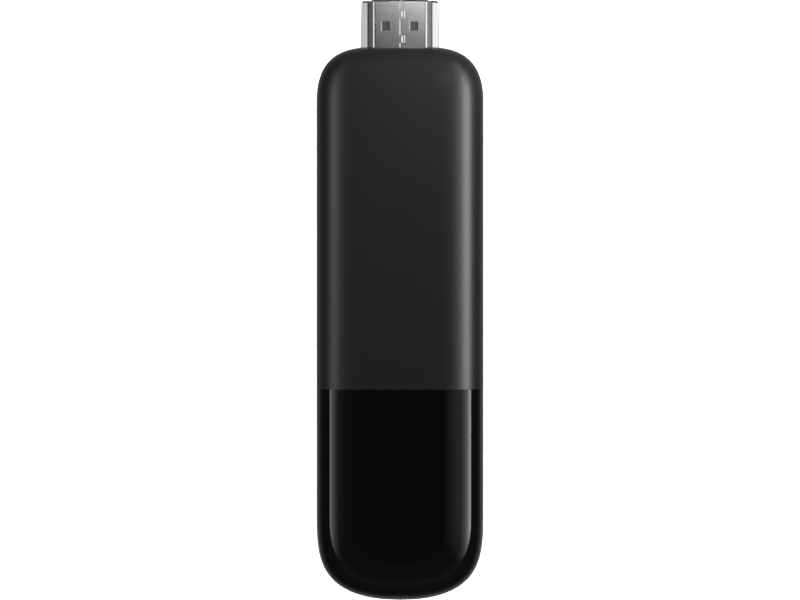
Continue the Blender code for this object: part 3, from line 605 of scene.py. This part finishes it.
def seam_cutter():
    """A thin upright wall along the seam, through the face."""
    reach = 0.5 * MM
    low_z = MID_Z + PLUG_HALF_HEIGHT - reach

    def build(bm):
        points = [bm.verts.new((x, y, low_z)) for x, y in seam_outline()]
        for first, second in zip(points, points[1:]):
            bm.edges.new((first, second))
        lifted = bmesh.ops.extrude_edge_only(bm, edges=bm.edges[:])
        raised = [v for v in lifted["geom"] if isinstance(v, bmesh.types.BMVert)]
        bmesh.ops.translate(bm, verts=raised, vec=(0, 0, 2 * reach))

    cutter = helper("seam_cutter", build)
    solidify(cutter, SEAM_WIDTH, offset=0)
    return cutter


def latch_holes():
    """(low x, high x, low y, high y) of the two holes in the face."""
    width, length = LATCH_HOLE_SIZE
    y = PLUG_TIP_Y - LATCH_HOLE_FROM_TIP
    return [
        (x - width / 2, x + width / 2, y - length / 2, y + length / 2)
        for x in (-LATCH_HOLE_X, LATCH_HOLE_X)
    ]


def rolled_edges():
    """Cutter for the edges that the press rolled over: ramps that sink toward +X."""
    ramps = [
        (hole_x - HOLE_ROLL_WIDTH, hole_x, low_y, high_y, GENTLE_ROLL)
        for hole_x, _, low_y, high_y in latch_holes()
    ]
    tooth = SEAM_X + DOVETAIL_REACH
    straights = [PLUG_TIP_Y - 0.3 * MM]
    for from_tip in DOVETAILS_FROM_TIP:
        middle = PLUG_TIP_Y - from_tip
        straights += [middle + DOVETAIL_HALF, middle - DOVETAIL_HALF]
        low_y, high_y = middle - DOVETAIL_ROLL_HALF, middle + DOVETAIL_ROLL_HALF
        for low, high in DOVETAIL_ROLLS:
            ramps.append((tooth + low, tooth + high, low_y, high_y, STEEP_ROLL))
    straights.append(PLUG_BACK_Y)
    for high_y, low_y in zip(straights[::2], straights[1::2]):
        ramps.append((SEAM_X - SEAM_ROLL_WIDTH, SEAM_X, low_y, high_y, GENTLE_ROLL))
    face_z = MID_Z + PLUG_HALF_HEIGHT
    above = face_z + 0.2 * MM

    def build(bm):
        for low, high, low_y, high_y, slope in ramps:
            section = [(low, face_z), (high, face_z - (high - low) * slope), (high, above), (low, above)]
            near, far = [[bm.verts.new((x, y, z)) for x, z in section] for y in (low_y, high_y)]
            bm.faces.new(near)
            bm.faces.new(far)
            for i in range(len(section)):
                bm.faces.new((near[i - 1], near[i], far[i], far[i - 1]))
        bmesh.ops.recalc_face_normals(bm, faces=bm.faces)

    return helper("rolled_edges", build)


def make_plug():
    """The folded steel shell, its edges rolled over where the press sheared them."""
    rings = [plug_ring(PLUG_BACK_Y, 0)]
    rings += [plug_ring(PLUG_TIP_Y - from_tip, drawn_in) for from_tip, drawn_in in RIM]
    shell = loft("plug_blank", rings)
    cavity = loft(
        "plug_cavity",
        [plug_ring(PLUG_BACK_Y - 1 * MM, PLUG_WALL), plug_ring(PLUG_TIP_Y + 1 * MM, PLUG_WALL)],
    )
    boolean(shell, cavity)
    holes = [((x0, y0, 0), (x1, y1, FAR)) for x0, x1, y0, y1 in latch_holes()]
    boolean(shell, boxes("latch_holes", holes))
    boolean(shell, seam_cutter())
    boolean(shell, rolled_edges())
    return piece("plug_casing", baked(shell), "plug_steel", "hdmi_shell", sharp=14)


# ---------------------------------------------------------------- opening of the power port
PORT_OPENING = (8.06 * MM, 3.2 * MM)
PORT_OPENING_CORNER = 0.95 * MM
PORT_OPENING_INNER_X = 12.0 * MM  # well inside the casing's wall


def port_opening_cutter():
    width, height = PORT_OPENING
    corners = [
        (width / 2, -height / 2, PORT_OPENING_CORNER),
        (width / 2, height / 2, PORT_OPENING_CORNER),
        (-width / 2, height / 2, PORT_OPENING_CORNER),
        (-width / 2, -height / 2, PORT_OPENING_CORNER),
    ]
    rings = [
        [(x, PORT_Y + u, MID_Z + v) for u, v in rounded(corners, steps=8)]
        for x in (PORT_OPENING_INNER_X, HALF_WIDTH + 1 * MM)
    ]
    return loft("port_opening", rings)


# ---------------------------------------------------------------- casing
LIP_INSET = 1.6 * MM
LIP_WALL = 0.7 * MM
LIP_DROP = 1.2 * MM
LIP_RISE = 1.6 * MM
EDGE_ROUNDING = 0.08 * MM
COVER_HALF_JOINT = 0.02 * MM  # shown tighter than the CAD's joint
PLUG_OPENING_Y = 38 * MM  # the opening's inner end, inside the casing


def lip_joiner():
    """The lip inside the front half's rim, which the back half fits round."""

    def build(bm):
        loops = [
            [bm.verts.new((x, y, MID_Z + z)) for x, y in outline(LIP_INSET)]
            for z in (-LIP_DROP, LIP_RISE)
        ]
        for i in range(len(loops[0])):
            j = (i + 1) % len(loops[0])
            bm.faces.new((loops[0][i], loops[0][j], loops[1][j], loops[1][i]))

    lip = helper("lip_joiner", build)
    solidify(lip, LIP_WALL)
    return lip


def beyond_gloss_edge(name, shift):
    """A block that takes in everything from the cover's upper edge, plus shift, to the plug's tip."""
    low = (-FAR, GLOSS_EDGE_Y + shift, MID_Z - FAR)
    return boxes(name, [(low, (FAR, PLUG_TIP_Y + FAR, MID_Z + FAR))])


def on_outer_skin(middle):
    """Whether a point near the parting line lies on the outer skin, not on the wall's inside."""
    x, y = middle.x, middle.y
    if abs(middle.z - MID_Z) > 0.2 * MM:
        return True
    ring = outline(0.3 * MM)
    inside = False
    for i in range(len(ring)):
        (ax, ay), (bx, by) = ring[i - 1], ring[i]
        if (ay > y) != (by > y) and x < (bx - ax) * (y - ay) / (by - ay) + ax:
            inside = not inside
    return not inside


def close(a, b):
    return abs(a - b) < 0.01 * MM


def front_edges(middle):
    step = close(middle.y, GLOSS_EDGE_Y + COVER_HALF_JOINT) and middle.z > MID_Z
    rim = close(middle.z, MID_Z + HALF_GAP)
    return (step or rim) and on_outer_skin(middle)


def cover_edges(middle):
    step = close(middle.y, GLOSS_EDGE_Y - COVER_HALF_JOINT)
    rim = close(middle.z, MID_Z + HALF_GAP)
    return (step or rim) and on_outer_skin(middle)


def back_edges(middle):
    return close(middle.z, MID_Z - HALF_GAP) and on_outer_skin(middle)


def casing_piece(name, blank, openings, wanted, slot, node):
    """Cuts the openings, rounds the wanted edges and makes the piece."""
    for opening in openings:
        boolean(blank, opening)
    bm = baked(blank)
    round_edges(bm, wanted, EDGE_ROUNDING)
    return piece(name, bm, slot, node)


def make_front(openings):
    """The matte front half, with its lip and the sunken bed for the cover."""
    blank = pebble_half("front_blank", FRONT_SHOULDER, 1, HALF_GAP)
    solidify(blank, FRONT_WALL)
    boolean(blank, lip_joiner(), "UNION")
    bed = pebble_half("gloss_bed", FRONT_SHOULDER, 1, -1 * MM)
    solidify(bed, GLOSS_BED + OVERCUT, offset=(OVERCUT - GLOSS_BED) / (OVERCUT + GLOSS_BED))
    boolean(bed, beyond_gloss_edge("gloss_bed_trimmer", COVER_HALF_JOINT))
    boolean(blank, bed)
    return casing_piece("front_body", blank, openings, front_edges, "matte_case", "front_shell")


def make_cover(openings):
    """The polished skin over the lower part of the front."""
    blank = pebble_half("cover_blank", FRONT_SHOULDER, 1, HALF_GAP)
    solidify(blank, GLOSS_WALL)
    boolean(blank, beyond_gloss_edge("cover_trimmer", -COVER_HALF_JOINT))
    return casing_piece("polished_cover", blank, openings, cover_edges, "gloss_cover", "gloss_cover")


def make_back(openings):
    blank = pebble_half("back_blank", BACK_SHOULDER, -1, HALF_GAP)
    solidify(blank, BACK_WALL)
    return casing_piece("back_body", blank, openings, back_edges, "matte_case", "rear_shell")


plug_opening = loft(
    "plug_opening",
    [plug_ring(PLUG_OPENING_Y, -CASE_TO_PLUG), plug_ring(PLUG_TIP_Y, -CASE_TO_PLUG)],
)
port_opening = port_opening_cutter()
make_front([plug_opening, port_opening])
cover = make_cover([port_opening])
make_back([plug_opening, port_opening])
plug = make_plug()

# ---------------------------------------------------------------- stage
PHOTO_DISTANCE = 0.7  # from the camera to the stick's widest level
FRAME_WIDTH = 142.72 * MM  # what the picture's width takes in at that level


def camera():
    data = bpy.data.cameras.new("camera")
    data.sensor_width = 36.0
    data.lens = 36.0 * PHOTO_DISTANCE / FRAME_WIDTH
    data.clip_start = 0.01
    made = bpy.data.objects.new("camera", data)
    bpy.context.scene.collection.objects.link(made)
    made.location = (0, 0, MID_Z + PHOTO_DISTANCE)
    bpy.context.scene.camera = made


def ramp(tree, value, stops):
    """A colour ramp over value through stops of {place: level}; also its highest level."""
    places = list(stops)
    highest = max(stops.values())
    spread = tree.nodes.new("ShaderNodeMapRange")
    spread.inputs["From Min"].default_value = places[0]
    spread.inputs["From Max"].default_value = places[-1]
    tree.links.new(value, spread.inputs["Value"])
    node = tree.nodes.new("ShaderNodeValToRGB")
    tree.links.new(spread.outputs["Result"], node.inputs["Fac"])
    for _ in range(len(stops) - 2):
        node.color_ramp.elements.new(0.5)
    for element, place, level in zip(node.color_ramp.elements, places, stops.values()):
        element.position = (place - places[0]) / (places[-1] - places[0])
        element.color = (*[level / highest] * 3, 1)
    return node.outputs["Color"], highest


def in_metres(stops):
    return {place * MM: level for place, level in stops.items()}


def math_node(tree, operation, *values):
    """A node working out operation from sockets and plain numbers."""
    node = tree.nodes.new("ShaderNodeMath")
    node.operation = operation
    for socket, value in zip(node.inputs, values):
        if isinstance(value, bpy.types.NodeSocket):
            tree.links.new(value, socket)
        else:
            socket.default_value = value
    return node.outputs["Value"]


def glowing(name, build):
    """A glowing object, seen by no camera and casting no shadow; also its emission and output nodes."""
    made = bpy.data.objects.new(name, mesh_from(name, build))
    bpy.context.scene.collection.objects.link(made)
    glow = bpy.data.materials.new(name)
    glow.use_nodes = True
    tree = glow.node_tree
    tree.nodes.clear()
    output = tree.nodes.new("ShaderNodeOutputMaterial")
    emit = tree.nodes.new("ShaderNodeEmission")
    tree.links.new(emit.outputs["Emission"], output.inputs["Surface"])
    made.data.materials.append(glow)
    made.visible_camera = False
    made.visible_shadow = False
    return made, emit, output


def softbox(name, side, distance, along, up, lights, cut=(10 * MM, 10 * MM)):
    """A standing panel beside the stick that shows only as a gloss, on what lights holds.

    along and up give its glow at places in mm along its length and up its height. cut is taken off
    its lower corner at the tail's end.
    """
    x = side * distance
    along, up = in_metres(along), in_metres(up)
    low_y, high_y = min(along), max(along)
    low_z, high_z = min(up), max(up)
    corners = [
        (x, low_y, low_z + cut[1]),
        (x, low_y + cut[0], low_z),
        (x, high_y, low_z),
        (x, high_y, high_z),
        (x, low_y, high_z),
    ]
    panel, emit, output = glowing(
        name, lambda bm: bm.faces.new([bm.verts.new(corner) for corner in corners])
    )
    tree = panel.active_material.node_tree
    # clear as well as glowing, so that no panel hides another
    both = tree.nodes.new("ShaderNodeAddShader")
    clear = tree.nodes.new("ShaderNodeBsdfTransparent")
    tree.links.new(emit.outputs["Emission"], both.inputs[0])
    tree.links.new(clear.outputs["BSDF"], both.inputs[1])
    tree.links.new(both.outputs["Shader"], output.inputs["Surface"])
    split = tree.nodes.new("ShaderNodeSeparateXYZ")
    tree.links.new(tree.nodes.new("ShaderNodeTexCoord").outputs["Object"], split.inputs["Vector"])
    length_shade, length_peak = ramp(tree, split.outputs["Y"], along)
    height_shade, height_peak = ramp(tree, split.outputs["Z"], up)
    shade = math_node(tree, "MULTIPLY", length_shade, height_shade)
    tree.links.new(shade, emit.inputs["Color"])
    emit.inputs["Strength"].default_value = length_peak * height_peak
    panel.visible_diffuse = False
    panel.light_linking.receiver_collection = lights


def linked(name, objects, state="INCLUDE"):
    """A light-linking collection: only these objects, or, with EXCLUDE, everything but them."""
    made = bpy.data.collections.new(name)
    for obj in objects:
        made.objects.link(obj)
    for member in made.collection_objects:
        member.light_linking.link_state = state
    return made


def dome(level):
    """An even glow from all sides that shows in no reflection."""
    made, emit, _ = glowing(
        "dome", lambda bm: bmesh.ops.create_icosphere(bm, subdivisions=3, radius=2.5)
    )
    emit.inputs["Strength"].default_value = level
    made.visible_glossy = False
    made.visible_transmission = False


def lamp(name, kind, place, watts):
    data = bpy.data.lights.new(name, kind)
    data.energy = watts
    made = bpy.data.objects.new(name, data)
    bpy.context.scene.collection.objects.link(made)
    made.location = place
    made.visible_camera = False
    return made


def near_light(place, watts):
    """A small lamp over the plug's end that shows in no reflection."""
    made = lamp("near_light", "POINT", place, watts)
    made.data.shadow_soft_size = 5 * MM
    made.visible_glossy = False


def area_light(name, shape, place, size, watts, lights):
    """A lamp aimed at the stick's middle that lights only what lights holds."""
    made = lamp(name, "AREA", place, watts)
    made.data.shape = shape
    made.data.size = size
    aim = Vector((0, 0, 10 * MM)) - Vector(place)
    made.rotation_euler = aim.to_track_quat("-Z", "Y").to_euler()
    made.light_linking.receiver_collection = lights


def world():
    """Dark above and softly glowing below, a little brighter toward +X; white where it is seen."""
    made = bpy.data.worlds.new("studio")
    bpy.context.scene.world = made
    made.use_nodes = True
    tree = made.node_tree
    tree.nodes.clear()
    output = tree.nodes.new("ShaderNodeOutputWorld")
    seen = tree.nodes.new("ShaderNodeBackground")
    seen.inputs["Color"].default_value = (1, 1, 1, 1)
    glow = tree.nodes.new("ShaderNodeBackground")
    mix = tree.nodes.new("ShaderNodeMixShader")
    path = tree.nodes.new("ShaderNodeLightPath")
    split = tree.nodes.new("ShaderNodeSeparateXYZ")
    tree.links.new(tree.nodes.new("ShaderNodeTexCoord").outputs["Generated"], split.inputs["Vector"])
    # brightness by the angle from straight up, in degrees
    by_angle = {
        180: 0.3, 160: 0.28, 146: 0.29, 137: 0.24, 128: 0.14, 120: 0.09, 114: 0.07, 108: 0.033,
        100: 0.015, 90: 0.032, 70: 0.047, 60: 0.105, 50: 0.052, 40: 0.028, 20: 0.033, 10: 0.006,
        0: 0.002,
    }
    by_height = {math.cos(math.radians(angle)): level for angle, level in by_angle.items()}
    shade, peak = ramp(tree, split.outputs["Z"], by_height)
    tree.links.new(shade, glow.inputs["Color"])
    lean = math_node(tree, "MULTIPLY_ADD", split.outputs["X"], 0.25 * peak, peak)
    tree.links.new(lean, glow.inputs["Strength"])
    tree.links.new(path.outputs["Is Camera Ray"], mix.inputs["Fac"])
    tree.links.new(glow.outputs["Background"], mix.inputs[1])
    tree.links.new(seen.outputs["Background"], mix.inputs[2])
    tree.links.new(mix.outputs["Shader"], output.inputs["Surface"])


def floor():
    """Plain pale paper, with a lamp of its own that makes it white."""
    made = bpy.data.objects.new(
        "floor",
        mesh_from("floor", lambda bm: bmesh.ops.create_grid(bm, x_segments=1, y_segments=1, size=3.0)),
    )
    bpy.context.scene.collection.objects.link(made)
    paint = Finish("floor_paper", (0.9, 0.9, 0.9), 0.9, specular=0.0)
    paint.colours(paint.noise(60 * MM, 3), (0.895, 0.895, 0.895), (0.905, 0.905, 0.905))
    made.data.materials.append(paint.material)
    made.visible_glossy = False
    made.visible_diffuse = False
    made.visible_shadow = False
    area_light("floor_light", "SQUARE", (0, 0, 1.2), 2.4, 130, linked("floor_only", [made]))


# the panels' glow along their length: {mm along Y: level}
CASE_ALONG = {-135: 0.3, -80: 0.56, -40: 0.96, 0: 1.0, 50: 1.4, 120: 1.0, 250: 0.28, 480: 0.28}
COVER_ALONG = {-230: 0.0, -170: 0.3, -135: 0.5, -95: 0.8, -66: 1.0, 480: 1.0}
PLUG_ALONG = {-135: 1.0, 250: 1.0}
# and up their height: {mm along Z: level}
CASE_RIGHT = {60: 1.3, 75: 1.3, 90: 2.7, 105: 5.4, 145: 6.0, 180: 7.3, 235: 2.0, 320: 0.4, 420: 1.6}
CASE_LEFT = {60: 0.04, 75: 0.2, 90: 0.63, 105: 1.1, 145: 1.2, 180: 2.0, 235: 0.7, 320: 0.2, 420: 0.24}
COVER_RIGHT = {
    73: 0.4, 77: 7.2, 86: 6.6, 108: 4.7, 145: 2.2, 184: 1.25, 225: 0.82, 274: 0.42, 466: 0.24,
    676: 0.15, 1150: 0.07,
}
COVER_LEFT = {86: 0.0, 91: 3.5, 112: 2.25, 130: 1.57, 168: 0.85, 208: 0.45, 260: 0.12, 430: 0.02}
PLUG_RIGHT = {-330: 0.13, 20: 0.13, 70: 1.6, 400: 1.6}
PLUG_LEFT = {60: 0.95, 110: 1.1, 400: 1.5}
CASE_DISTANCE = 250 * MM
COVER_DISTANCE = 255 * MM
PLUG_DISTANCE = 260 * MM
COVER_CUT = (168 * MM, 120 * MM)  # keeps the gloss short of the tail's corners

bpy.context.scene.view_settings.view_transform = "Standard"
camera()
world()
floor()
case_only = linked("not_cover_or_plug", [cover, plug], "EXCLUDE")
softbox("case_right", 1, CASE_DISTANCE, CASE_ALONG, CASE_RIGHT, case_only)
softbox("case_left", -1, CASE_DISTANCE, CASE_ALONG, CASE_LEFT, case_only)
cover_only = linked("the_cover", [cover])
softbox("cover_right", 1, COVER_DISTANCE, COVER_ALONG, COVER_RIGHT, cover_only, COVER_CUT)
softbox("cover_left", -1, COVER_DISTANCE, COVER_ALONG, COVER_LEFT, cover_only, COVER_CUT)
plug_only = linked("the_plug", [plug])
softbox("plug_right", 1, PLUG_DISTANCE, PLUG_ALONG, PLUG_RIGHT, plug_only)
softbox("plug_left", -1, PLUG_DISTANCE, PLUG_ALONG, PLUG_LEFT, plug_only)
dome(0.31)
near_light((0.0177, 0.0525, 0.0427), 0.028)
area_light("plug_light", "DISK", (0.0108, 0.0742, 0.0957), 0.03, 0.0095, plug_only)

for obj in list(WORKSHOP.objects):
    bpy.data.objects.remove(obj)
bpy.data.collections.remove(WORKSHOP)
